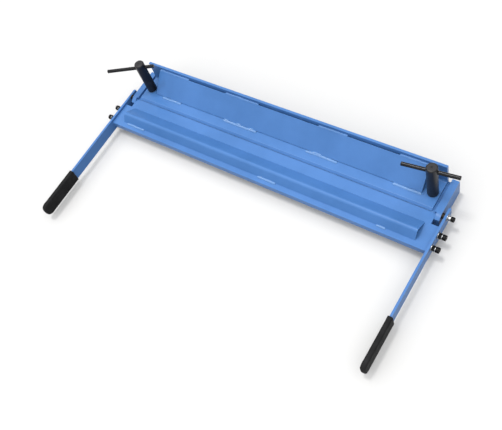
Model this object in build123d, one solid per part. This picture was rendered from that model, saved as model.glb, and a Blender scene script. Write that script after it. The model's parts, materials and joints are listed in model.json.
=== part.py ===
from build123d import *

# A bench sheet metal brake: a bed between two hinge side bars, a clamp beam held down by two
# T-handle screws, and an apron that folds up about the bend line on two arms with grips.
# Everything is drawn in the bend-line frame: X along the bend line, Y to the rear, Z up, with
# the origin in the middle of the bend line on the work surface. Each node is moved into the
# bench frame as it is written: that origin is the centre of the four bench holes.

import os
from math import cos, radians, sin, sqrt

# ---------------------------------------------------------------- driving dimensions (mm)
WORK_WIDTH = 930.0          # clear width between the side bars
BENCH_DROP = 43.0           # bench surface below the work surface
REAR_Y = 92.5               # rear face of the bed and of the clamp beam
BEND_GAP = 0.35             # bed edge and apron edge, each side of the bend line

SIDE_THICK = 18.0           # flat bar 50 x 18 on edge
SIDE_TOP = 7.0
SIDE_REAR_Y = 98.0
NOSE_LENGTH = 15.0          # hinge nose in front of the bend line
NOSE_DROP = 9.0             # fall of the sloping top of the nose
NOSE_RELIEF = 5.0           # cut from its inner face, so the apron reaches past the bed
PIVOT_HOLE_DEPTH = 11.5

BED_SHEET = 6.0             # folded channel
FOOT_THICK = 8.0
FOOT_LENGTH = 70.0
FOOT_HOLE_X = 415.0
FOOT_HOLE_Y = 25.0          # half the spacing, about the pattern's centre
FOOT_CENTRE_Y = 50.0
FOOT_HOLE_RADIUS = 5.0      # tapped M10

BEAM_HALF = 457.5           # clamp beam, 915 long
BEAM_GAP = 0.3              # rest clearance above the bed
BEAM_THICK = 7.0
BEAM_HEIGHT = 68.0
BEAM_NOSE_Y = 1.0
BEAM_NOSE_BEVEL = 5.2
STIFFENER_HALF = 416.0
STIFFENER_THICK = 5.0
STIFFENER_FOOT_Y = 31.0
STIFFENER_TOP_Y = 81.0
STIFFENER_TOP_Z = 58.3

SCREW_X = 440.0             # clamp screw axes
SCREW_Y = 44.0
SCREW_RADIUS = 8.0          # M16 x 2
SCREW_LOW_Z = -32.0
SLEEVE_RADIUS = 14.0
SLEEVE_TOP_Z = 118.6
WASHER_THICK = 1.5
TOMMY_Z = 102.0
TOMMY_RADIUS = 5.0
TOMMY_HALF = 70.0
TOMMY_END = 2.5             # length of the upset ends that keep the bar in its hole
TOMMY_END_RADIUS = 5.4
LEFT_TOMMY_ANGLE = 208.6    # degrees from +X, as the handle was left
LEFT_TOMMY_OFFSET = 31.0    # how far the bar has slid that way
RIGHT_TOMMY_ANGLE = 6.5
RIGHT_TOMMY_OFFSET = -3.5

APRON_HALF = 490.5
APRON_DEPTH = 100.0
APRON_THICK = 18.0
NOTCH_DEPTH = 30.0
SIDE_CLEARANCE = 0.5
RIB_HALF = 456.0
RIB_REAR_Y = -31.0          # rear toe of the 45 x 30 x 4 angle
RIB_REAR_LEG = 45.0
RIB_FRONT_LEG = 30.0
RIB_SHEET = 4.0
RIB_ROOT_RADIUS = 4.0       # inside the ridge

ARM_X = APRON_HALF          # inner face
ARM_THICK = 6.0
ARM_TOP = 7.0
ARM_HEIGHT = 35.0
ARM_TIP_Y = 23.0
ARM_END_RADIUS = 15.0
LEFT_ARM_END_Y = -421.0
RIGHT_ARM_END_Y = -411.0
ARM_SCREW_Y = (-48.5, -84.0)
ARM_SCREW_Z = -5.0
GRIP_REACH = 130.5          # from the mouth to the end of the arm inside
GRIP_WALL = 4.0
GRIP_END_WALL = 5.0
GRIP_HEIGHT = 42.0

M6_RADIUS = 3.0
M8_RADIUS = 4.0
THREAD_CLEARANCE = 0.05
RUNNING_CLEARANCE = 0.05
TURNING_GAP = 0.35

# ---------------------------------------------------------------- worked-out dimensions
SIDE_IN = WORK_WIDTH / 2
SIDE_OUT = SIDE_IN + SIDE_THICK
BEAM_TOP = BEAM_GAP + BEAM_THICK
NOSE_IN = SIDE_IN + NOSE_RELIEF
NOTCH_X = NOSE_IN - SIDE_CLEARANCE
ARM_OUT = ARM_X + ARM_THICK
SLEEVE_LOW_Z = BEAM_TOP + TURNING_GAP + WASHER_THICK
PIVOT_HEAD_X = ARM_OUT + 10.0


# ---------------------------------------------------------------- shape helpers
def along_x(outline, x_low, x_high):
    """A bar with the closed (y, z) outline, from x_low to x_high."""
    corners = [(x_low, y, z) for y, z in outline]
    face = make_face(Polyline(*corners, close=True))
    return extrude(face, amount=x_high - x_low, dir=(1, 0, 0))


def block(x_low, x_high, y_low, y_high, z_low, z_high):
    """A rectangular block between two opposite corners."""
    centre = Pos((x_low + x_high) / 2, (y_low + y_high) / 2, (z_low + z_high) / 2)
    return centre * Box(x_high - x_low, y_high - y_low, z_high - z_low)


def rod_z(x, y, z_low, z_high, radius):
    """An upright cylinder."""
    return Pos(x, y, (z_low + z_high) / 2) * Cylinder(radius, z_high - z_low)


def rod_x(x_low, x_high, y, z, radius):
    """A cylinder along X."""
    return Pos((x_low + x_high) / 2, y, z) * Rot(0, 90, 0) * Cylinder(radius, x_high - x_low)


def ring_x(x_low, x_high, y, z, outer, inner):
    """A washer or collar along X, with its outer rims broken."""
    disc = rod_x(x_low, x_high, y, z, outer)
    disc = chamfer(disc.edges(), 0.15 * (x_high - x_low))
    return disc - rod_x(x_low - 1, x_high + 1, y, z, inner)


def hexagon_x(x_low, x_high, y, z, across_flats):
    """A hexagonal bar along X."""
    outline = RegularPolygon(across_flats / sqrt(3), 6)
    prism = extrude(outline, amount=x_high - x_low)
    return Pos(x_low, y, z) * Rot(0, 90, 0) * prism


def left_of(shape):
    """The same piece on the left-hand side."""
    return mirror(shape, about=Plane.YZ)


def both_sides(right_shapes):
    """Right-hand pieces and their left-hand twins, as one group of separate solids."""
    return Compound(list(right_shapes) + [left_of(shape) for shape in right_shapes])


def socket_screw(x_head, y, z, shank_end, shank, head, head_length, across_flats):
    """A socket head cap screw along X, its head outwards from x_head, its tip at shank_end."""
    body = rod_x(x_head, x_head + head_length, y, z, head)
    body = chamfer(body.edges().group_by(Axis.X)[-1], 0.8)
    socket = hexagon_x(x_head + 0.45 * head_length, x_head + head_length + 1, y, z, across_flats)
    tip = chamfer(rod_x(shank_end, x_head, y, z, shank).edges().group_by(Axis.X)[0], 0.6)
    return body - socket + tip


# ---------------------------------------------------------------- base
def bed_channel():
    """An inverted channel whose top is the bed, drilled for the two clamp screws."""
    low, high = -BENCH_DROP, 0.0
    outer = block(-SIDE_IN, SIDE_IN, BEND_GAP, REAR_Y, low, high)
    inner = block(-SIDE_IN - 1, SIDE_IN + 1, BEND_GAP + BED_SHEET, REAR_Y - BED_SHEET,
                  low - 1, high - BED_SHEET)
    bed = outer - inner
    bed = fillet(bed.edges().filter_by(Axis.X).group_by(Axis.Z)[-1].sort_by(Axis.Y)[-1], 3.0)
    for x in (-SCREW_X, SCREW_X):
        bed -= rod_z(x, SCREW_Y, -BED_SHEET - 1, 1, SCREW_RADIUS + 1)
    return bed


def side_bar(pivot_radius):
    """The right-hand side bar: a flat bar on edge whose sloping nose carries the pivot."""
    nose_top = SIDE_TOP - NOSE_DROP
    outline = [(SIDE_REAR_Y, SIDE_TOP), (0, SIDE_TOP), (-NOSE_LENGTH, nose_top),
               (-NOSE_LENGTH, 12 - BENCH_DROP), (12 - NOSE_LENGTH, -BENCH_DROP),
               (SIDE_REAR_Y, -BENCH_DROP)]
    bar = along_x(outline, SIDE_IN, SIDE_OUT)
    bar = chamfer(bar.edges().filter_by(Axis.X).group_by(Axis.Y)[-1], 1.5)
    bar -= block(SIDE_IN - 1, NOSE_IN, -NOSE_LENGTH - 1, BEND_GAP, -BENCH_DROP - 1, SIDE_TOP + 1)
    return bar - rod_x(SIDE_OUT - PIVOT_HOLE_DEPTH, SIDE_OUT + 1, 0, 0, pivot_radius)


def foot_plate():
    """The right-hand foot: a plate inside the channel with two tapped bench holes."""
    low = -BENCH_DROP
    plate = block(SIDE_IN - FOOT_LENGTH, SIDE_IN, BEND_GAP + BED_SHEET, REAR_Y - BED_SHEET,
                  low, low + FOOT_THICK)
    for side in (-1, 1):
        y = FOOT_CENTRE_Y + side * FOOT_HOLE_Y
        plate -= rod_z(FOOT_HOLE_X, y, low - 1, low + FOOT_THICK + 1, FOOT_HOLE_RADIUS)
    return plate


def bed_nut():
    """The right-hand threaded block under the bed, tapped for a clamp screw."""
    half, depth = 16.0, 16.0
    nut = block(SCREW_X - half, SCREW_X + half, SCREW_Y - half, SCREW_Y + half,
                -BED_SHEET - depth, -BED_SHEET)
    nut = chamfer(nut.edges().filter_by(Axis.Z), 2.0)
    return nut - rod_z(SCREW_X, SCREW_Y, -50, 0, SCREW_RADIUS + RUNNING_CLEARANCE)


def pivot_screw():
    """The right-hand shoulder screw on the bend line, with its M6 thread in the side bar."""
    screw = socket_screw(PIVOT_HEAD_X, 0, 0, SIDE_OUT, M8_RADIUS, 6.4, 8.0, 5.0)
    return screw + rod_x(SIDE_OUT - PIVOT_HOLE_DEPTH + 1.5, SIDE_OUT, 0, 0, M6_RADIUS)


def pivot_washer():
    """The right-hand thrust washer outside the arm."""
    low = ARM_OUT + TURNING_GAP
    return ring_x(low, low + 2.0, 0, 0, 8.5, M8_RADIUS + THREAD_CLEARANCE)


def pivot_collar():
    """The right-hand distance collar between the washer and the screw head."""
    low = ARM_OUT + TURNING_GAP + 2.0
    return ring_x(low, PIVOT_HEAD_X, 0, 0, 5.6, M8_RADIUS + THREAD_CLEARANCE)


def pivot_pin():
    """A pin pressed into a side bar, flush with the arm; the left-hand pivot uses it."""
    pin = rod_x(SIDE_OUT - PIVOT_HOLE_DEPTH + 1, ARM_OUT - 0.2, 0, 0, M8_RADIUS)
    return chamfer(pin.edges(), 0.5)


# ---------------------------------------------------------------- clamp beam
def clamp_beam():
    """An unequal angle: the nose plate lies on the bed and the flange stands at its rear."""
    flange_y = REAR_Y - BEAM_THICK
    outline = [(BEAM_NOSE_Y, BEAM_GAP), (REAR_Y, BEAM_GAP), (REAR_Y, BEAM_HEIGHT),
               (flange_y, BEAM_HEIGHT), (flange_y, BEAM_TOP), (BEAM_NOSE_Y, BEAM_TOP)]
    beam = along_x(outline, -BEAM_HALF, BEAM_HALF)
    lengthwise = beam.edges().filter_by(Axis.X)
    root = lengthwise.sort_by_distance((-BEAM_HALF, flange_y, BEAM_TOP))[0]
    beam = fillet(root, 5.0)
    nose = beam.edges().filter_by(Axis.X).sort_by_distance((0, BEAM_NOSE_Y, BEAM_TOP))[0]
    beam = chamfer(nose, BEAM_NOSE_BEVEL)
    beam = fillet(beam.edges().filter_by(Axis.X).group_by(Axis.Z)[-1], 1.0)
    for x in (-SCREW_X, SCREW_X):
        beam -= rod_z(x, SCREW_Y, -1, BEAM_TOP + 1, SCREW_RADIUS + 0.6)
        beam -= rod_z(x, SCREW_Y, -1, BEAM_GAP + 2.6, 14.0)
    return beam


def beam_stiffener():
    """The plate welded slantwise from the nose plate up to the flange."""
    run = STIFFENER_TOP_Y - STIFFENER_FOOT_Y
    rise = STIFFENER_TOP_Z - BEAM_TOP
    length = sqrt(run ** 2 + rise ** 2)
    back_y = STIFFENER_TOP_Y + STIFFENER_THICK * rise / length
    back_z = STIFFENER_TOP_Z - STIFFENER_THICK * run / length
    heel_y = STIFFENER_FOOT_Y + STIFFENER_THICK * length / rise
    outline = [(STIFFENER_FOOT_Y, BEAM_TOP), (heel_y, BEAM_TOP), (back_y, back_z),
               (STIFFENER_TOP_Y, STIFFENER_TOP_Z)]
    return along_x(outline, -STIFFENER_HALF, STIFFENER_HALF)


# ---------------------------------------------------------------- clamp screws
def spindle(x):
    """The threaded spindle of a clamp screw, grooved for its retaining clip."""
    rod = rod_z(x, SCREW_Y, SCREW_LOW_Z, 62, SCREW_RADIUS)
    rod = chamfer(rod.edges().group_by(Axis.Z)[0], 1.5)
    groove = rod_z(x, SCREW_Y, 0.95, 2.45, 10) - rod_z(x, SCREW_Y, 0, 3, 7)
    return rod - groove


def sleeve(x, tommy_angle):
    """The tall round head of a clamp screw, centred on top, cross-drilled for the tommy bar."""
    body = rod_z(x, SCREW_Y, SLEEVE_LOW_Z, SLEEVE_TOP_Z, SLEEVE_RADIUS)
    body = fillet(body.edges().group_by(Axis.Z)[-1], 4.0)
    body = chamfer(body.edges().group_by(Axis.Z)[0], 1.0)
    body -= Pos(x, SCREW_Y, SLEEVE_TOP_Z + 1.2) * Sphere(3.0)
    body -= rod_z(x, SCREW_Y, 0, 62.1, SCREW_RADIUS + 0.03)
    hole = Cylinder(TOMMY_RADIUS + 0.08, 4 * SLEEVE_RADIUS)
    return body - Pos(x, SCREW_Y, TOMMY_Z) * Rot(0, 0, tommy_angle) * Rot(0, 90, 0) * hole


def thrust_washer(x):
    """The washer between the beam and the sleeve."""
    low = BEAM_TOP + TURNING_GAP
    disc = rod_z(x, SCREW_Y, low, low + WASHER_THICK, 13.5)
    return disc - rod_z(x, SCREW_Y, 0, 20, SCREW_RADIUS + 0.1)


def retaining_clip(x):
    """The clip in the spindle's groove that lifts the beam when the screw is backed off."""
    ring = rod_z(x, SCREW_Y, 1.0, 2.4, 12) - rod_z(x, SCREW_Y, 0, 3, 7.05)
    return ring - block(x - 3, x + 3, SCREW_Y, SCREW_Y + 20, 0, 3)


def on_tommy(shape, x, angle, offset):
    """A shape drawn along X about the bar's middle, put where the tommy bar is."""
    return Pos(x, SCREW_Y, TOMMY_Z) * Rot(0, 0, angle) * Pos(offset, 0, 0) * shape


def tommy_bar(x, angle, offset):
    """The plain sliding bar, its ends upset a little after it was put through."""
    plain = TOMMY_HALF - TOMMY_END
    bar = rod_x(-plain, plain, 0, 0, TOMMY_RADIUS)
    end = rod_x(plain, TOMMY_HALF, 0, 0, TOMMY_END_RADIUS)
    end = chamfer(end.edges().group_by(Axis.X)[-1], 1.2)
    return on_tommy(bar + end + left_of(end), x, angle, offset)


# ---------------------------------------------------------------- apron
def apron_plate():
    """The folding leaf: a thick plate, notched round the hinge noses, tapped in its ends."""
    low = -APRON_THICK
    plate = block(-APRON_HALF, APRON_HALF, -APRON_DEPTH, -BEND_GAP, low, 0)
    for side in (-1, 1):
        x_low, x_high = sorted((side * NOTCH_X, side * (APRON_HALF + 1)))
        plate -= block(x_low, x_high, -NOTCH_DEPTH, 1, low - 1, 1)
    front = plate.edges().filter_by(Axis.X).group_by(Axis.Y)[0]
    plate = fillet(front, 1.2)
    for y in ARM_SCREW_Y:
        for side in (-1, 1):
            x_low, x_high = sorted((side * (APRON_HALF - 26), side * (APRON_HALF + 1)))
            plate -= rod_x(x_low, x_high, y, ARM_SCREW_Z, M8_RADIUS + THREAD_CLEARANCE)
    return plate


def apron_rib():
    """An unequal angle laid ridge up along the leaf, its toes ground flat."""
    base = sqrt(RIB_REAR_LEG ** 2 + RIB_FRONT_LEG ** 2)
    height = RIB_REAR_LEG * RIB_FRONT_LEG / base
    rear_run = RIB_REAR_LEG ** 2 / base
    inner_rear = RIB_REAR_Y - RIB_SHEET * RIB_REAR_LEG / height
    inner_front = RIB_REAR_Y - base + RIB_SHEET * RIB_FRONT_LEG / height
    inner_scale = (inner_rear - inner_front) / base
    outer = [(RIB_REAR_Y, 0), (RIB_REAR_Y - rear_run, height), (RIB_REAR_Y - base, 0)]
    inner = [(inner_rear, 0), (inner_rear - rear_run * inner_scale, height * inner_scale),
             (inner_front, 0)]
    rib = along_x(outer[:2] + [outer[2]] + inner[::-1], -RIB_HALF, RIB_HALF)
    lengthwise = rib.edges().filter_by(Axis.X).sort_by(Axis.Z)
    rib = fillet(lengthwise[-1], RIB_ROOT_RADIUS + RIB_SHEET)
    root = rib.edges().filter_by(Axis.X).sort_by_distance((0, inner[1][0], inner[1][1]))[0]
    return fillet(root, RIB_ROOT_RADIUS)


def arm(end_y):
    """The right-hand arm: a flat bar on edge from behind the bend line to end_y."""
    low = ARM_TOP - ARM_HEIGHT
    outline = [(ARM_TIP_Y, ARM_TOP - 2), (ARM_TIP_Y - 4, ARM_TOP), (end_y, ARM_TOP),
               (end_y, low), (ARM_TIP_Y - 16, low), (ARM_TIP_Y, low + 14)]
    bar = along_x(outline, ARM_X, ARM_OUT)
    bar = fillet(bar.edges().filter_by(Axis.X).group_by(Axis.Y)[0], ARM_END_RADIUS)
    for y in ARM_SCREW_Y:
        bar -= rod_x(ARM_X - 1, ARM_OUT + 1, y, ARM_SCREW_Z, M8_RADIUS + 0.5)
    return bar - rod_x(ARM_X - 1, ARM_OUT + 1, 0, 0, 6 + 0.02)


def grip(arm_end_y):
    """The right-hand moulded sleeve on an arm, round at its closed end."""
    end_y = arm_end_y - GRIP_END_WALL
    mouth_y = arm_end_y + GRIP_REACH
    middle_z = ARM_TOP - ARM_HEIGHT / 2
    shell = block(ARM_X - GRIP_WALL, ARM_OUT + GRIP_WALL, end_y, mouth_y,
                  middle_z - GRIP_HEIGHT / 2, middle_z + GRIP_HEIGHT / 2)
    shell = fillet(shell.edges().filter_by(Axis.X).group_by(Axis.Y)[0], 17.0)
    rims = shell.edges().filter_by(lambda edge: edge.length > 60)
    shell = fillet(rims + shell.edges().filter_by(GeomType.CIRCLE)
                   + shell.edges().filter_by(Axis.Z).group_by(Axis.Y)[0], 5.0)
    slot = block(ARM_X - 0.02, ARM_OUT + 0.02, arm_end_y - 0.02, mouth_y + 1,
                 ARM_TOP - ARM_HEIGHT - 0.02, ARM_TOP + 0.02)
    slot = fillet(slot.edges().filter_by(Axis.X).group_by(Axis.Y)[0], ARM_END_RADIUS)
    return shell - slot


def pivot_bush():
    """The right-hand flanged bush pressed into the arm."""
    bush = rod_x(SIDE_OUT + TURNING_GAP, ARM_X, 0, 0, 7.2)
    bush += rod_x(ARM_X, ARM_OUT, 0, 0, 6)
    return bush - rod_x(SIDE_OUT - 1, ARM_OUT + 1, 0, 0, M8_RADIUS + RUNNING_CLEARANCE)


def arm_stack(y):
    """Right-hand plain washer, lock nut, spring washer and screw at one arm hole."""
    z = ARM_SCREW_Z
    bore = M8_RADIUS + THREAD_CLEARANCE
    nut_x = ARM_OUT + 2.0
    spring_x = nut_x + 7.0
    head_x = spring_x + 2.1
    plain = ring_x(ARM_OUT, nut_x, y, z, 9.0, bore)
    nut = hexagon_x(nut_x, spring_x, y, z, 13.0)
    nut = nut - rod_x(ARM_OUT, head_x, y, z, bore)
    spring = rod_x(spring_x, head_x, y, z, 6.4)
    spring -= rod_x(spring_x - 1, head_x + 1, y, z, bore)
    spring -= block(spring_x - 1, head_x + 1, y - 0.6, y + 0.6, z, z + 10)
    screw = socket_screw(head_x, y, z, APRON_HALF - 24, M8_RADIUS, 7.2, 9.5, 6.0)
    return plain, nut, spring, screw


# ---------------------------------------------------------------- nodes
stacks = [arm_stack(y) for y in ARM_SCREW_Y]
plain_washers, lock_nuts, spring_washers, arm_screws = zip(*stacks)

nodes = {
    "bed_channel": bed_channel(),
    "right_side_bar": side_bar(M6_RADIUS + THREAD_CLEARANCE),
    "left_side_bar": left_of(side_bar(M8_RADIUS + 0.02)),
    "right_foot_plate": foot_plate(),
    "left_foot_plate": left_of(foot_plate()),
    "bed_nuts": both_sides([bed_nut()]),
    "right_pivot_screw": pivot_screw(),
    "right_pivot_washer": pivot_washer(),
    "right_pivot_collar": pivot_collar(),
    "left_pivot_pin": left_of(pivot_pin()),
    "clamp_beam": clamp_beam(),
    "beam_stiffener": beam_stiffener(),
    "apron_plate": apron_plate(),
    "apron_rib": apron_rib(),
    "right_arm": arm(RIGHT_ARM_END_Y),
    "left_arm": left_of(arm(LEFT_ARM_END_Y)),
    "right_grip": grip(RIGHT_ARM_END_Y),
    "left_grip": left_of(grip(LEFT_ARM_END_Y)),
    "pivot_bushes": both_sides([pivot_bush()]),
    "arm_washers": both_sides(plain_washers),
    "arm_lock_nuts": both_sides(lock_nuts),
    "arm_spring_washers": both_sides(spring_washers),
    "arm_screws": both_sides(arm_screws),
}
handles = {"left": (-SCREW_X, LEFT_TOMMY_ANGLE, LEFT_TOMMY_OFFSET),
           "right": (SCREW_X, RIGHT_TOMMY_ANGLE, RIGHT_TOMMY_OFFSET)}
for name, (x, angle, offset) in handles.items():
    nodes[name + "_spindle"] = spindle(x)
    nodes[name + "_sleeve"] = sleeve(x, angle)
    nodes[name + "_thrust_washer"] = thrust_washer(x)
    nodes[name + "_retaining_clip"] = retaining_clip(x)
    nodes[name + "_tommy_bar"] = tommy_bar(x, angle, offset)

os.makedirs("parts", exist_ok=True)
to_bench = Pos(0, -FOOT_CENTRE_Y, BENCH_DROP)
for name, shape in nodes.items():
    export_step(to_bench * shape, f"parts/{name}.step")
    print(name, round(shape.volume), "mm3")
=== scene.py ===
import json
import math

import bmesh
import bpy
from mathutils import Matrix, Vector, noise

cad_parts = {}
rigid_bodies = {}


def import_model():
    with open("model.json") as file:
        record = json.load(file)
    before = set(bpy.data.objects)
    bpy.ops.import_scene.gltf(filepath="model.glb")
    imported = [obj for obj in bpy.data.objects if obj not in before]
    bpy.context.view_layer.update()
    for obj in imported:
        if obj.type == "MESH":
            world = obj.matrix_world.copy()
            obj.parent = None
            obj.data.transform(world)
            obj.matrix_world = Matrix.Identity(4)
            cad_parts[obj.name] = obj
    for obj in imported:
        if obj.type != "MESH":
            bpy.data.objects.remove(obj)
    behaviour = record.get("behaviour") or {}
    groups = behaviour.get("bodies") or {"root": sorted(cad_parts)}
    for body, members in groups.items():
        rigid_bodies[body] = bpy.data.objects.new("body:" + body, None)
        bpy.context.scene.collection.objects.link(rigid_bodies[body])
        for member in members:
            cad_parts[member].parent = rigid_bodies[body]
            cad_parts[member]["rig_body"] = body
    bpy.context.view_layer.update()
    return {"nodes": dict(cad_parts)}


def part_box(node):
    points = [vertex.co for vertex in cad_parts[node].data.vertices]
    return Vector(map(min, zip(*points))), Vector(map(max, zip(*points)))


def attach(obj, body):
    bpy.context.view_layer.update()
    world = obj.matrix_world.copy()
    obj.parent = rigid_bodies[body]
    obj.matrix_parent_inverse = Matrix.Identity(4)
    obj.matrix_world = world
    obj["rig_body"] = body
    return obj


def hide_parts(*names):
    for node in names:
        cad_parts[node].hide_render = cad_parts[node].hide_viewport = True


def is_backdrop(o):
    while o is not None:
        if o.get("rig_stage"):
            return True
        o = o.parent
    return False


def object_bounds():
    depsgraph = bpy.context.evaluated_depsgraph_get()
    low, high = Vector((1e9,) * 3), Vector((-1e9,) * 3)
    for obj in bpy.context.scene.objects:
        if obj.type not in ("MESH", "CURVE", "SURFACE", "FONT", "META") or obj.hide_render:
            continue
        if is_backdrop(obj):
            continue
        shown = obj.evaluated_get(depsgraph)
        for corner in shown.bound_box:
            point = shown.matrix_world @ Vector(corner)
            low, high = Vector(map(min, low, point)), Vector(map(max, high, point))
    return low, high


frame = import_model()

# The looks of a sheet metal brake: painted plates with rounded edges and stitch welds, machined
# screws and nuts, and moulded grips. Lengths are in metres, or in millimetres times MM.
NODES = frame["nodes"]
MM = 0.001
TURN = 2 * math.pi


# ---------------------------------------------------------------- materials
class Shader:
    """A material with its node tree, and short calls to add nodes to it."""

    def __init__(self, name):
        self.material = bpy.data.materials.new(name)
        self.material.use_nodes = True
        self.tree = self.material.node_tree
        self.surface = self.tree.nodes["Principled BSDF"]
        self.place = self.add("ShaderNodeTexCoord").outputs["Object"]

    def add(self, kind, **settings):
        node = self.tree.nodes.new(kind)
        for key, value in settings.items():
            setattr(node, key, value)
        return node

    def join(self, output, target):
        self.tree.links.new(output, target)

    def constant(self, **values):
        """Plain numbers and colours on the shader's own sockets."""
        for key, value in values.items():
            self.surface.inputs[key.replace("_", " ")].default_value = value

    def noise(self, scale, detail=3.0, roughness=0.5, stretch=(1, 1, 1)):
        """A noise pattern of that many features to the metre."""
        mapping = self.add("ShaderNodeMapping")
        mapping.inputs["Scale"].default_value = stretch
        self.join(self.place, mapping.inputs["Vector"])
        texture = self.add("ShaderNodeTexNoise")
        texture.inputs["Scale"].default_value = scale
        texture.inputs["Detail"].default_value = detail
        texture.inputs["Roughness"].default_value = roughness
        self.join(mapping.outputs["Vector"], texture.inputs["Vector"])
        return texture.outputs["Fac"]

    def cells(self, scale):
        """The distance pattern of scattered cells."""
        texture = self.add("ShaderNodeTexVoronoi")
        texture.inputs["Scale"].default_value = scale
        self.join(self.place, texture.inputs["Vector"])
        return texture.outputs["Distance"]

    def spread(self, value, low, high, out_low=0.0, out_high=1.0):
        """value taken from low..high to out_low..out_high, and held there."""
        ranged = self.add("ShaderNodeMapRange")
        ranged.inputs["From Min"].default_value = low
        ranged.inputs["From Max"].default_value = high
        ranged.inputs["To Min"].default_value = out_low
        ranged.inputs["To Max"].default_value = out_high
        self.join(value, ranged.inputs["Value"])
        return ranged.outputs["Result"]

    def blend(self, factor, first, second):
        """A mix of two colours."""
        mix = self.add("ShaderNodeMix", data_type="RGBA")
        self.join(factor, mix.inputs["Factor"])
        for name, colour in (("A", first), ("B", second)):
            socket = next(s for s in mix.inputs if s.name == name and s.type == "RGBA")
            socket.default_value = (*colour, 1)
        return next(s for s in mix.outputs if s.type == "RGBA")

    def bump(self, height, depth, under=None):
        """Surface relief of that depth in metres, on top of another relief."""
        node = self.add("ShaderNodeBump")
        node.inputs["Strength"].default_value = 1.0
        node.inputs["Distance"].default_value = depth
        self.join(height, node.inputs["Height"])
        if under is not None:
            self.join(under, node.inputs["Normal"])
        return node.outputs["Normal"]


def powder_coat(name, colour, roughness, gloss):
    """Semi-gloss powder coat: orange peel, faint clouding, and dust nibs."""
    s = Shader(name)
    deep = tuple(0.93 * c for c in colour)
    pale = tuple(1.05 * c + 0.004 for c in colour)
    clouds = s.spread(s.noise(9, 4, 0.6), 0.35, 0.65)
    s.join(s.blend(clouds, deep, pale), s.surface.inputs["Base Color"])
    s.join(s.spread(s.noise(160, 3, 0.6), 0.3, 0.7, roughness - 0.04, roughness + 0.05),
           s.surface.inputs["Roughness"])
    peel = s.bump(s.noise(420, 2, 0.45), 0.05 * MM)
    nibs = s.bump(s.spread(s.cells(70), 0.0, 0.05, 1.0, 0.0), 0.02 * MM, peel)
    s.join(nibs, s.surface.inputs["Normal"])
    s.constant(Specular_IOR_Level=gloss)
    return s.material


def black_steel(name, colour, roughness, gloss=0.4, grain=(1, 1, 1)):
    """Black-oxide steel: satin, with fine machining grain and paler rubbed spots."""
    s = Shader(name)
    rubbed = tuple(2.2 * c for c in colour)
    wear = s.spread(s.noise(60, 5, 0.65), 0.55, 0.8)
    s.join(s.blend(wear, colour, rubbed), s.surface.inputs["Base Color"])
    s.join(s.spread(s.noise(220, 3), 0.3, 0.7, roughness - 0.06, roughness + 0.08),
           s.surface.inputs["Roughness"])
    s.join(s.bump(s.noise(900, 3, 0.6, grain), 0.02 * MM), s.surface.inputs["Normal"])
    s.constant(Metallic=0.25, Specular_IOR_Level=gloss)
    return s.material


def bright_metal(name, colour, roughness, stained):
    """Bare or plated metal with fine grain and cloudy staining."""
    s = Shader(name)
    clouds = s.spread(s.noise(140, 4, 0.6), 0.4, 0.7)
    s.join(s.blend(clouds, colour, stained), s.surface.inputs["Base Color"])
    s.join(s.spread(s.noise(300, 3), 0.3, 0.7, roughness - 0.05, roughness + 0.1),
           s.surface.inputs["Roughness"])
    s.join(s.bump(s.noise(1500, 3, 0.6), 0.015 * MM), s.surface.inputs["Normal"])
    s.constant(Metallic=1.0)
    return s.material


def moulded_grip(name, colour):
    """Soft black plastic: fine leather grain, matte."""
    s = Shader(name)
    pale = tuple(1.7 * c for c in colour)
    handled = s.spread(s.noise(35, 4, 0.6), 0.45, 0.75)
    s.join(s.blend(handled, colour, pale), s.surface.inputs["Base Color"])
    s.join(s.spread(s.noise(90, 3), 0.3, 0.7, 0.5, 0.64), s.surface.inputs["Roughness"])
    grain = s.bump(s.spread(s.cells(900), 0.0, 0.6), 0.09 * MM)
    s.join(s.bump(s.noise(260, 3), 0.06 * MM, grain), s.surface.inputs["Normal"])
    s.constant(Specular_IOR_Level=0.05)
    return s.material


def matte_ground(name, colour):
    """A plain pale matte floor."""
    s = Shader(name)
    s.constant(Base_Color=(*colour, 1), Roughness=0.9, Specular_IOR_Level=0.1)
    return s.material


BLUE = powder_coat("blue_powder_coat", (0.047, 0.136, 0.338), 0.32, 0.16)
# a lighter, glossier copy of the blue for the rounded edges: its lighter colour is a painted
# highlight along the edges
BLUE_EDGE_HIGHLIGHT = powder_coat("blue_powder_coat_edge_highlight", (0.062, 0.160, 0.372), 0.28, 0.30)
# a lighter, glossier copy of the blue for the weld beads: its lighter colour is a painted
# highlight on the beads
BLUE_WELD_HIGHLIGHT = powder_coat("blue_powder_coat_weld_highlight", (0.066, 0.168, 0.372), 0.22, 0.50)
BLACK = black_steel("black_oxide", (0.0035, 0.0035, 0.004), 0.34, gloss=0.15)
BLACK_TURNED = black_steel("black_oxide_turned", (0.009, 0.009, 0.011), 0.36, grain=(1, 1, 9))
TOMMY = black_steel("tommy_bar_steel", (0.007, 0.007, 0.008), 0.20, gloss=0.22)
ZINC = bright_metal("bright_zinc", (0.36, 0.37, 0.38), 0.34, (0.27, 0.28, 0.30))
STEEL = bright_metal("machined_steel", (0.42, 0.42, 0.43), 0.34, (0.30, 0.29, 0.28))
# near-black bronze for the pivot bushes: this darkness is painted shade, as dark as the gap
# between arm and side bar
BRONZE_PAINTED_SHADE = bright_metal("bronze_painted_shade", (0.030, 0.024, 0.018), 0.55, (0.020, 0.017, 0.014))
GRIP = moulded_grip("grip_plastic", (0.011, 0.011, 0.0115))
FLOOR = matte_ground("pale_floor", (0.50, 0.50, 0.50))


# ---------------------------------------------------------------- mesh helpers
def show(name, mesh, material, body, slot, *replaced):
    """Adds a mesh as a piece that rides on a body."""
    piece = bpy.data.objects.new(name, mesh)
    bpy.context.scene.collection.objects.link(piece)
    if not mesh.materials:
        mesh.materials.append(material)
    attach(piece, body)
    if replaced:
        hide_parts(*replaced)
    return piece


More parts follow.
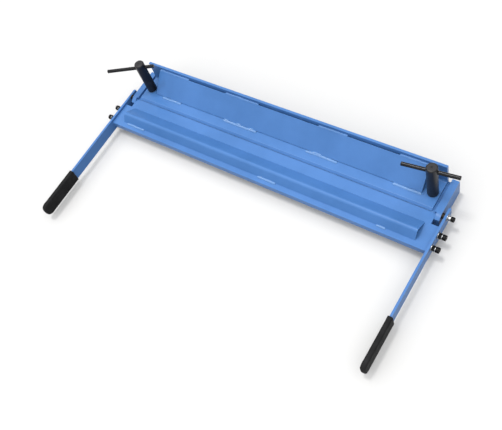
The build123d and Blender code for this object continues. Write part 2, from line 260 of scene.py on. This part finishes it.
def skin(bm, rows):
    """Faces between closed rows of as many vertices each."""
    for row, following in zip(rows, rows[1:]):
        count = len(row)
        for i in range(count):
            k = (i + 1) % count
            bm.faces.new((row[i], row[k], following[k], following[i]))


def cap(bm, rows):
    """A flat face over the first row and the last."""
    bm.faces.new(rows[0][::-1])
    bm.faces.new(rows[-1])


def mesh_of(bm, name):
    """Turns bm into a smooth-shaded mesh, with its faces outward."""
    bmesh.ops.recalc_face_normals(bm, faces=bm.faces)
    mesh = bpy.data.meshes.new(name)
    bm.to_mesh(mesh)
    bm.free()
    mesh.shade_smooth()
    return mesh


# ---------------------------------------------------------------- painted plates
FLAT = math.radians(1)          # faces that meet flatter than this are one face
SHARP = math.radians(40)        # edges sharper than this are rounded
CREASE = math.radians(32)       # edges sharper than this don't shade smoothly
WELDED = 0.01 * MM              # vertices closer than this are one
TOUCH = 0.1 * MM                # vertices nearer an edge of the shape than this lie on it


def lowest_front_edges(bm):
    """The edges at the bottom of the front of a shape."""
    low_y = min(v.co.y for v in bm.verts)
    low_z = min(v.co.z for v in bm.verts)
    return [edge for edge in bm.edges
            if all(v.co.y - low_y < TOUCH and v.co.z - low_z < TOUCH for v in edge.verts)]


def rounded(node, width, paint, edge_highlight_paint, slot, undercut=0.0):
    """The node's own shape with its sharp edges rounded. The rounds take the second paint; where
    that is a lighter blue, it is a painted highlight along the edges. An undercut takes that much
    off its lowest front edge, which leaves a dark seam below."""
    bm = bmesh.new()
    bm.from_mesh(NODES[node].data)
    bmesh.ops.remove_doubles(bm, verts=bm.verts, dist=WELDED)
    bmesh.ops.dissolve_limit(bm, angle_limit=FLAT, verts=bm.verts, edges=bm.edges)
    for face in bm.faces:
        face.material_index = 0
    if undercut:
        bmesh.ops.bevel(bm, geom=lowest_front_edges(bm), offset=undercut, segments=1,
                        affect="EDGES", material=0)
    sharp = [edge for edge in bm.edges
             if len(edge.link_faces) == 2 and edge.calc_face_angle() > SHARP]
    bmesh.ops.bevel(bm, geom=sharp, offset=width, segments=2, profile=0.5, affect="EDGES",
                    clamp_overlap=True, material=1)
    mesh = bpy.data.meshes.new(node + "_finished")
    bm.to_mesh(mesh)
    bm.free()
    mesh.materials.append(paint)
    mesh.materials.append(edge_highlight_paint)
    mesh.shade_smooth()
    mesh.set_sharp_from_angle(angle=CREASE)
    piece = show(node + "_finished", mesh, paint, NODES[node]["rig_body"], slot, node)
    weighted = piece.modifiers.new("weighted", "WEIGHTED_NORMAL")
    weighted.keep_sharp = True


for node, width in (("bed_channel", 0.7), ("left_side_bar", 0.8), ("right_side_bar", 0.8),
                    ("left_foot_plate", 0.6), ("right_foot_plate", 0.6), ("clamp_beam", 0.5),
                    ("apron_plate", 0.6), ("apron_rib", 0.5),
                    ("left_arm", 0.8), ("right_arm", 0.8)):
    rounded(node, width * MM, BLUE, BLUE_EDGE_HIGHLIGHT, "blue_paint")
rounded("beam_stiffener", 0.4 * MM, BLUE, BLUE_EDGE_HIGHLIGHT, "blue_paint", undercut=3.2 * MM)

# ---------------------------------------------------------------- places, read from the frame
bed_low, bed_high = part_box("bed_channel")
sleeve_low, sleeve_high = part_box("right_sleeve")
apron_rear_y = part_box("apron_plate")[1].y
side_bar_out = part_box("right_side_bar")[1].x
arm_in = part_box("right_arm")[0].x
work_z = bed_high.z
bend_y = (bed_low.y + apron_rear_y) / 2
screw_x = (sleeve_low.x + sleeve_high.x) / 2
screw_y = (sleeve_low.y + sleeve_high.y) / 2


def at_bend(x, y, z):
    """A place given in millimetres from the middle of the bend line, on the work surface."""
    return (x * MM, bend_y + y * MM, work_z + z * MM)


# ---------------------------------------------------------------- weld beads
RIPPLE_PITCH = 0.0021
RIPPLE_LAG = 0.9                # how far a ripple's toes trail its crown, in pitches
RIPPLE_LOW, RIPPLE_RISE = 0.86, 0.18
RIPPLE_AT_TOES = 0.35           # share of the ripple that shows in the bead's width
WANDER = 0.22                   # how far the bead strays to a side, in half widths
SWELL = 0.16                    # how much its size changes along the way
WANDER_RATE, SWELL_RATE = 45, 70
STEPS_PER_RIPPLE = 4
BEAD_SEGMENTS = 14
NOSE_SHARE = 1.3                # length of a bead's rounded ends, in half widths
SMALLEST_TAPER = 0.05
SEED_STEP = 3.7                 # between one bead's noise and the next one's


def bead_taper(from_end, half_width):
    """How full a bead is at that distance from its end: a round nose."""
    run = min(1.0, from_end / (NOSE_SHARE * half_width))
    return max(SMALLEST_TAPER, math.sqrt(max(0.0, 1 - (1 - run) ** 2)))


def add_bead(bm, start, end, out, half_width, height, seed):
    """Adds one weld bead to bm: overlapping crescent ripples that wander a little."""
    start, end, out = Vector(start), Vector(end), Vector(out).normalized()
    along = (end - start).normalized()
    side = along.cross(out)
    length = (end - start).length
    stations = int(length / (RIPPLE_PITCH / STEPS_PER_RIPPLE))
    rows = []
    for i in range(stations + 1):
        d = length * i / stations
        taper = bead_taper(min(d, length - d), half_width)
        wander = noise.noise(Vector((d * WANDER_RATE, seed, 0.3))) * WANDER * half_width
        swell = 1 + SWELL * noise.noise(Vector((d * SWELL_RATE, seed, 7.1)))
        row = []
        for k in range(BEAD_SEGMENTS):
            angle = TURN * k / BEAD_SEGMENTS
            up = math.sin(angle)
            phase = d / RIPPLE_PITCH - RIPPLE_LAG * up
            ripple = RIPPLE_LOW + RIPPLE_RISE * abs(math.sin(math.pi * phase)) ** 0.7
            r_side = half_width * taper * swell * (1 + RIPPLE_AT_TOES * (ripple - 1))
            r_up = height * taper * swell * ripple
            row.append(bm.verts.new(start + along * d + side * (wander + r_side * math.cos(angle))
                                    + out * (r_up * up)))
        rows.append(row)
    skin(bm, rows)
    cap(bm, rows)


def welds(name, body, beads, paint):
    """One piece of separate weld beads. beads holds (start, end, out, half width, height)."""
    bm = bmesh.new()
    for index, bead in enumerate(beads):
        add_bead(bm, *bead, seed=SEED_STEP * index + len(name))
    show(name, mesh_of(bm, name), paint, body, "blue_paint")


def beads_along_x(rows, out):
    """Beads that face out, from rows of x from, x to, y, z, half width and height, in
    millimetres from the middle of the bend line."""
    return [(at_bend(x_from, y, z), at_bend(x_to, y, z), out, half * MM, height * MM)
            for x_from, x_to, y, z, half, height in rows]


def base_beads(side):
    """The beads on one side of the base, out of sight: side bar, foot plate and threaded block.
    Places are in millimetres, as for at_bend."""
    halfway = 0.7                   # a bead in a corner faces halfway between its two plates
    channel_end, channel_rear = side * 465, 92.6
    yield (at_bend(channel_end, channel_rear, -39), at_bend(channel_end, channel_rear, -4),
           (-side * halfway, halfway, 0), 2.8 * MM, 2.2 * MM)
    foot_top, flange_faces = -34.9, ((6.6, 1), (86.4, -1))
    for y, facing in flange_faces:
        yield (at_bend(side * 399, y, foot_top), at_bend(side * 461, y, foot_top),
               (0, facing * halfway, halfway), 2.6 * MM, 2.0 * MM)
    block_y, block_half, block_top = 44, 16, -6.1
    for edge in (-1, 1):
        y = block_y + edge * block_half
        yield (at_bend(side * 428, y, block_top), at_bend(side * 452, y, block_top),
               (0, edge * halfway, -halfway), 2.4 * MM, 1.9 * MM)


# the top welds take the lighter edge blue, a painted highlight on these beads
welds("stiffener_top_welds", "clamp", beads_along_x([
    (-416, -310, 83.4, 57.3, 3.3, 2.7), (-183, -73, 83.4, 57.3, 3.3, 2.7),
    (111, 196, 83.4, 57.3, 3.3, 2.7), (338, 416, 83.4, 57.3, 3.3, 2.7)],
    out=(0, -0.35, 0.94)), BLUE_EDGE_HIGHLIGHT)
welds("stiffener_foot_welds", "clamp", beads_along_x([
    (-392, -322, 29.6, 7.3, 4.2, 2.9), (-174, -61, 29.4, 7.3, 4.4, 3.1),
    (92, 189, 29.4, 7.3, 4.4, 3.1), (340, 419, 29.6, 7.3, 4.2, 2.9),
    (-170, -154, 32.4, 9.6, 2.9, 2.6), (-130, -114, 32.4, 9.6, 2.9, 2.6),
    (-87, -71, 32.4, 9.6, 2.9, 2.6), (112, 141, 32.4, 9.6, 2.9, 2.6)],
    out=(0, -0.38, 0.92)), BLUE_WELD_HIGHLIGHT)
welds("rib_front_welds", "apron", beads_along_x([
    (-444, -378, -86.4, 0.1, 3.9, 2.7), (11, 70, -86.4, 0.1, 3.9, 2.7),
    (355, 382, -86.4, 0.1, 3.6, 2.6)], out=(0, -0.47, 0.88)), BLUE_WELD_HIGHLIGHT)
welds("base_welds", "base", [*base_beads(-1), *base_beads(1)], BLUE_WELD_HIGHLIGHT)

# ---------------------------------------------------------------- metal nodes
for node, material in (("right_pivot_washer", ZINC), ("right_pivot_collar", ZINC),
                       ("arm_washers", ZINC), ("left_thrust_washer", ZINC),
                       ("right_thrust_washer", ZINC), ("left_retaining_clip", STEEL),
                       ("right_retaining_clip", STEEL), ("left_pivot_pin", STEEL),
                       ("pivot_bushes", BRONZE_PAINTED_SHADE)):
    for place in NODES[node].material_slots:
        place.material = material
for node in ("left_sleeve", "right_sleeve"):
    rounded(node, 0.4 * MM, BLACK_TURNED, BLACK_TURNED, "black_steel")
for node in ("left_tommy_bar", "right_tommy_bar"):
    rounded(node, 0.3 * MM, TOMMY, TOMMY, "black_steel")
rounded("bed_nuts", 0.5 * MM, STEEL, STEEL, "bare_steel")


# ---------------------------------------------------------------- screws, nuts and washers
TURNED_SEGMENTS = 72
KNURL_DEPTH = 0.22 * MM
M8_SHANK = 4.0 * MM
M6_SHANK = 3.0 * MM


def hex_radius(angle, across_flats):
    """A hexagon's radius in that direction."""
    sixth = TURN / 6
    return across_flats / 2 / math.cos((angle + sixth / 2) % sixth - sixth / 2)


def turned_radius(i, kind, size):
    """The radius at segment i: round of that radius, hex of that width across flats, knurl of
    that radius, or cut, which is (hex, limit) for a hexagon turned down to a round limit."""
    angle = TURN * i / TURNED_SEGMENTS
    if kind == "hex":
        return hex_radius(angle, size)
    if kind == "knurl":
        return size - (KNURL_DEPTH if i % 2 else 0.0)
    if kind == "cut":
        across_flats, limit = size
        return min(hex_radius(angle, across_flats), limit)
    return size


def turned(bm, centre, axis, across, profile, hollow=False):
    """Adds a turned solid to bm. profile holds (place along axis, kind, size), as in
    turned_radius. A hollow profile ends at the bore it began with."""
    centre, axis, across = Vector(centre), Vector(axis), Vector(across)
    third = axis.cross(across)
    rows = []
    for place, kind, size in profile:
        row = []
        for i in range(TURNED_SEGMENTS):
            angle = TURN * i / TURNED_SEGMENTS
            radius = turned_radius(i, kind, size)
            offset = across * (radius * math.cos(angle)) + third * (radius * math.sin(angle))
            row.append(bm.verts.new(centre + axis * place + offset))
        rows.append(row)
    if hollow:
        rows.append(rows[0])
    skin(bm, rows)
    if not hollow:
        cap(bm, rows)


def socket_head(bm, centre, axis, across, shank_back, head, length, across_flats):
    """Adds a knurled socket head cap screw. centre is under the head; the shank goes back."""
    turned(bm, centre, axis, across, [
        (-shank_back, "round", M8_SHANK - 0.6 * MM), (-shank_back + 0.6 * MM, "round", M8_SHANK),
        (-0.2 * MM, "round", M8_SHANK), (0.0, "round", head - 0.5 * MM),
        (0.35 * MM, "round", head - 0.25 * MM), (0.7 * MM, "knurl", head),
        (length - 1.7 * MM, "knurl", head), (length - 1.3 * MM, "round", head - 0.25 * MM),
        (length - 0.5 * MM, "round", head - 0.45 * MM), (length, "round", head - 1.1 * MM),
        (length, "hex", across_flats + 0.5 * MM), (length - 0.4 * MM, "hex", across_flats),
        (0.45 * length, "hex", across_flats), (0.38 * length, "round", 0.3 * across_flats)])


def hex_nut(bm, centre, axis, across, length, across_flats, bore):
    """Adds a hexagon nut with both faces chamfered round."""
    corner = across_flats / math.sqrt(3)
    face = across_flats / 2 * 0.97  # the round that the chamfer leaves on a face
    chamfer = 0.55 * MM
    turned(bm, centre, axis, across, [
        (0.0, "round", bore), (0.0, "round", face), (chamfer, "cut", (across_flats, corner)),
        (length - chamfer, "cut", (across_flats, corner)), (length, "round", face),
        (length, "round", bore)], hollow=True)


def split_washer(bm, centre, axis, across, length, outer, inner):
    """Adds a spring washer: a coil of square wire with a sloping gap."""
    centre, axis, across = Vector(centre), Vector(axis), Vector(across)
    third = axis.cross(across)
    thick = 0.8 * length
    rim = 0.12 * thick              # chamfer on the wire's outer edges
    gap = 14                        # degrees
    steps = 60
    rows = []
    for i in range(steps + 1):
        angle = math.radians(gap / 2 + (360 - gap) * i / steps)
        rise = (length - thick) * i / steps
        out = across * math.cos(angle) + third * math.sin(angle)
        section = ((inner, rise), (outer - rim, rise), (outer, rise + rim),
                   (outer, rise + thick - rim), (outer - rim, rise + thick),
                   (inner, rise + thick))
        rows.append([bm.verts.new(centre + out * r + axis * h) for r, h in section])
    skin(bm, rows)
    cap(bm, rows)


def finish_hardware(name, bm, material, body, slot, replaced, crease=28):
    """Turns bm into a piece of bright, crisp-edged hardware in place of a node."""
    mesh = mesh_of(bm, name)
    mesh.set_sharp_from_angle(angle=math.radians(crease))
    show(name, mesh, material, body, slot, replaced)


def two_centres(node):
    """The (y, z) centres of the front and the rear of a row of two round parts."""
    low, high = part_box(node)
    radius = (high.z - low.z) / 2
    z = (low.z + high.z) / 2
    return [(y, z) for y in (low.y + radius, high.y - radius)]


SCREW_REACH = 23 * MM           # how far the arm screws go into the apron's ends
M8_SOCKET, M8_NUT, PIVOT_SOCKET = 6.0 * MM, 13 * MM, 5.0 * MM     # across flats
screw_low, screw_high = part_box("arm_screws")
nut_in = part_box("arm_washers")[1].x
spring_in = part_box("arm_lock_nuts")[1].x
head_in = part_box("arm_spring_washers")[1].x
screw_tip = arm_in - SCREW_REACH
screws = bmesh.new()
nuts = bmesh.new()
springs = bmesh.new()
for side in (-1, 1):
    for index, (y, z) in enumerate(two_centres("arm_screws")):
        # each screw stopped at a different angle when it was tightened
        twist = 0.5 + 1.9 * index + 0.8 * side
        across = (0, math.cos(twist), math.sin(twist))
        axis = (side, 0, 0)
        socket_head(screws, (side * head_in, y, z), axis, across, head_in - screw_tip,
                    (screw_high.z - screw_low.z) / 2, screw_high.x - head_in,
                    across_flats=M8_SOCKET)
        hex_nut(nuts, (side * nut_in, y, z), axis, across, spring_in - nut_in,
                across_flats=M8_NUT, bore=M8_SHANK + 0.05 * MM)
        split_washer(springs, (side * spring_in, y, z), axis, across, head_in - spring_in,
                     outer=6.4 * MM, inner=M8_SHANK + 0.1 * MM)
finish_hardware("arm_screws_finished", screws, BLACK, "apron", "black_steel", "arm_screws")
finish_hardware("arm_lock_nuts_finished", nuts, BLACK, "apron", "black_steel", "arm_lock_nuts")
finish_hardware("arm_spring_washers_finished", springs, ZINC, "apron", "zinc_plate",
                "arm_spring_washers")

# the right pivot screw: a shoulder the arm swings on, and an M6 end in the side bar
pivot_low, pivot_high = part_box("right_pivot_screw")
collar_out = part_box("right_pivot_collar")[1].x
pivot_across = (0, 0.8, 0.6)
pivot = bmesh.new()
socket_head(pivot, (collar_out, bend_y, work_z), (1, 0, 0), pivot_across,
            collar_out - side_bar_out, (pivot_high.z - pivot_low.z) / 2,
            pivot_high.x - collar_out, across_flats=PIVOT_SOCKET)
turned(pivot, (side_bar_out, bend_y, work_z), (-1, 0, 0), pivot_across,
       [(-0.5 * MM, "round", M6_SHANK), (9.4 * MM, "round", M6_SHANK),
        (10.0 * MM, "round", M6_SHANK - 0.6 * MM)])
finish_hardware("right_pivot_screw_finished", pivot, BLACK, "base", "black_steel",
                "right_pivot_screw")

# ---------------------------------------------------------------- threaded spindles
SPINDLE_PITCH = 2.0 * MM
SPINDLE_DEPTH = 1.15 * MM       # of the thread
ROD_SEGMENTS = 40
STEPS_PER_THREAD = 10


def thread_depth(phase):
    """How far into a thread that place of its pitch is: flat crest, slope, flat root, slope."""
    crest_end, root_start, root_end = 0.12, 0.5, 0.66
    place = phase % 1.0
    if place < crest_end:
        return 0.0
    if place < root_start:
        return (place - crest_end) / (root_start - crest_end)
    if place < root_end:
        return 1.0
    return (1.0 - place) / (1.0 - root_end)


def threaded(bm, x, y, z_low, z_high, radius, pitch, depth):
    """Adds an upright threaded rod with a chamfered lower end."""
    count = int((z_high - z_low) / pitch * STEPS_PER_THREAD)
    rings = []
    for j in range(count + 1):
        z = z_low + (z_high - z_low) * j / count
        lead_in = min(1.0, 0.8 + 0.2 * (z - z_low) / (1.4 * depth))
        ring = []
        for i in range(ROD_SEGMENTS):
            angle = TURN * i / ROD_SEGMENTS
            cut = depth * thread_depth(z / pitch - i / ROD_SEGMENTS)
            r = min(radius - cut, radius * lead_in)
            ring.append(bm.verts.new((x + r * math.cos(angle), y + r * math.sin(angle), z)))
        rings.append(ring)
    skin(bm, rings)
    cap(bm, rings)


for name, side in (("left", -1), ("right", 1)):
    low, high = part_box(name + "_spindle")
    rod = bmesh.new()
    threaded(rod, side * screw_x, screw_y, low.z, high.z, (high.x - low.x) / 2,
             SPINDLE_PITCH, SPINDLE_DEPTH)
    finish_hardware(name + "_spindle_finished", rod, STEEL, name + "_screw", "bare_steel",
                    name + "_spindle", crease=40)

# ---------------------------------------------------------------- grips
GRIP_WALL = 4.0 * MM
GRIP_LIP = 1.6 * MM             # radius of the lip round the mouth
END_TALL = 17.0 * MM            # radius of the closed end, seen from the side
END_WIDE = 5.0 * MM             # and seen from above
BAND = 9 * MM                   # length of the raised band at the mouth
CORNER_STEPS, END_STEPS, BODY_STEPS, LIP_STEPS = 7, 8, 16, 5


def rounded_outline(half_x, half_z, radius, seam):
    """A rounded rectangle's points, anticlockwise. seam lifts a fine moulding line along the
    middle of the top and the bottom."""
    radius = min(radius, half_x - 0.01 * MM, half_z - 0.01 * MM)
    points = []
    for corner, (sx, sz) in enumerate(((1, 1), (-1, 1), (-1, -1), (1, -1))):
        for i in range(CORNER_STEPS + 1):
            angle = math.radians(90 * corner + 90 * i / CORNER_STEPS)
            points.append((sx * (half_x - radius) + radius * math.cos(angle),
                           sz * (half_z - radius) + radius * math.sin(angle)))
        if corner in (0, 2):
            for x, lift in ((0.45, 0.0), (0.2, seam), (-0.2, seam), (-0.45, 0.0)):
                points.append((sx * x * MM, sz * (half_z + lift)))
        else:
            for share in (0.5, 0.0, -0.5):
                points.append((sx * half_x, sz * share * (half_z - radius)))
    return points


def mesh_from_rings(name, rings):
    """A skin over rings of equal size, closed with a fan at both ends."""
    bm = bmesh.new()
    rows = [[bm.verts.new(p) for p in ring] for ring in rings]
    skin(bm, rows)
    count = len(rows[0])
    for row, flip in ((rows[0], True), (rows[-1], False)):
        hub = bm.verts.new(sum((v.co for v in row), Vector()) / count)
        for i in range(count):
            k = (i + 1) % count
            bm.faces.new((row[k], row[i], hub) if flip else (row[i], row[k], hub))
    return mesh_of(bm, name)


def fall(radius, d):
    """How far a round of that radius has fallen away, d in from where it starts."""
    return radius - math.sqrt(max(0.0, radius ** 2 - (radius - d) ** 2))


def grip_piece(name):
    """A moulded sleeve: rounded closed end, plain body, and a thick lip round the arm."""
    low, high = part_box(name)
    middle_x, middle_z = (low.x + high.x) / 2, (low.z + high.z) / 2
    half_x, half_z = (high.x - low.x) / 2, (high.z - low.z) / 2
    rings = []

    def ring(y, inset_x, inset_z, radius, seam=0.0):
        rings.append([(middle_x + x, y, middle_z + z) for x, z in
                      rounded_outline(half_x - inset_x, half_z - inset_z, radius, seam)])

    # the closed end: rounded both ways, then only from the side
    for i in range(END_STEPS + 1):
        d = END_WIDE * (1 - math.cos(math.radians(90 * i / END_STEPS)))
        ring(low.y + d, fall(END_WIDE, d), fall(END_TALL, d), 4.6 * MM)
    for i in range(1, END_STEPS + 1):
        d = END_WIDE + (END_TALL - END_WIDE) * i / END_STEPS
        ring(low.y + d, 0.0, fall(END_TALL, d), 5.0 * MM, seam=0.12 * MM)

    # the body, and the step up to the band at the mouth
    body_from, body_to = low.y + END_TALL, high.y - BAND
    for i in range(1, BODY_STEPS + 1):
        ring(body_from + (body_to - body_from) * i / BODY_STEPS, 0.25 * MM, 0.25 * MM, 5.0 * MM,
             seam=0.14 * MM)
    for y, inset in ((-8.4, 0.25), (-7.6, 0.05), (-6.6, 0.0), (-2.4, 0.0), (-1.6, 0.12)):
        ring(high.y + y * MM, inset * MM, inset * MM, 5.2 * MM)

    # the lip, turned over into the mouth and in to the arm
    for i in range(1, LIP_STEPS + 1):
        angle = math.radians(90 * i / LIP_STEPS)
        inset = GRIP_LIP * (1 - math.cos(angle))
        ring(high.y - GRIP_LIP + GRIP_LIP * math.sin(angle), inset, inset, 4.4 * MM)
    for y, inset_x, inset_z, radius in ((0.0, -0.6, -0.3, 1.5), (-0.7, -0.05, -0.35, 1.2),
                                        (-5.0, 0.4, 0.2, 1.0)):
        ring(high.y + y * MM, GRIP_WALL + inset_x * MM, GRIP_WALL + inset_z * MM, radius * MM)
    mesh = mesh_from_rings(name + "_finished", rings)
    mesh.set_sharp_from_angle(angle=math.radians(50))
    show(name + "_finished", mesh, GRIP, "apron", "grip_plastic", name)


grip_piece("left_grip")
grip_piece("right_grip")

# ---------------------------------------------------------------- camera and light
camera_data = bpy.data.cameras.new("camera")
camera_data.lens = 50.56
camera_data.sensor_width = 36
camera_data.shift_x = 0.0066
camera_data.shift_y = 0.0140
camera_data.clip_end = 50
camera = bpy.data.objects.new("camera", camera_data)
camera.location = (0.8547, -0.8032, 1.5329)
camera.rotation_euler = [math.radians(a) for a in (29.887, 14.158, 32.599)]
bpy.context.scene.collection.objects.link(camera)
bpy.context.scene.camera = camera

world = bpy.data.worlds.new("studio")
world.use_nodes = True
background = world.node_tree.nodes["Background"]
background.inputs["Color"].default_value = (1.0, 1.0, 1.0, 1)
background.inputs["Strength"].default_value = 0.20
bpy.context.scene.world = world


def sun(name, energy, spread, towards, colour):
    """A distant light, spread over that many degrees; towards points from the scene to it."""
    data = bpy.data.lights.new(name, "SUN")
    data.energy = energy
    data.angle = math.radians(spread)
    data.color = colour
    lamp = bpy.data.objects.new(name, data)
    lamp.rotation_euler = Vector(towards).to_track_quat("Z", "Y").to_euler()
    bpy.context.scene.collection.objects.link(lamp)


sun("key", 1.36, 11, (-0.22, 0.04, 0.975), (1.0, 0.99, 0.97))
sun("overhead", 4.7, 128, (0.0, -0.17, 1.0), (1.0, 1.0, 1.0))

# ---------------------------------------------------------------- floor
FLOOR_REACH = 30.0
FLOOR_Z = -0.5 * MM             # just under the feet
floor_mesh = bpy.data.meshes.new("floor")
corners = ((-1, -1), (1, -1), (1, 1), (-1, 1))
floor_mesh.from_pydata([(x * FLOOR_REACH, y * FLOOR_REACH, FLOOR_Z) for x, y in corners],
                       [], [(0, 1, 2, 3)])
floor_mesh.materials.append(FLOOR)
floor = bpy.data.objects.new("floor", floor_mesh)
bpy.context.scene.collection.objects.link(floor)
floor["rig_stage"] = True

bpy.context.scene.view_settings.view_transform = "Standard"

low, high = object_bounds()
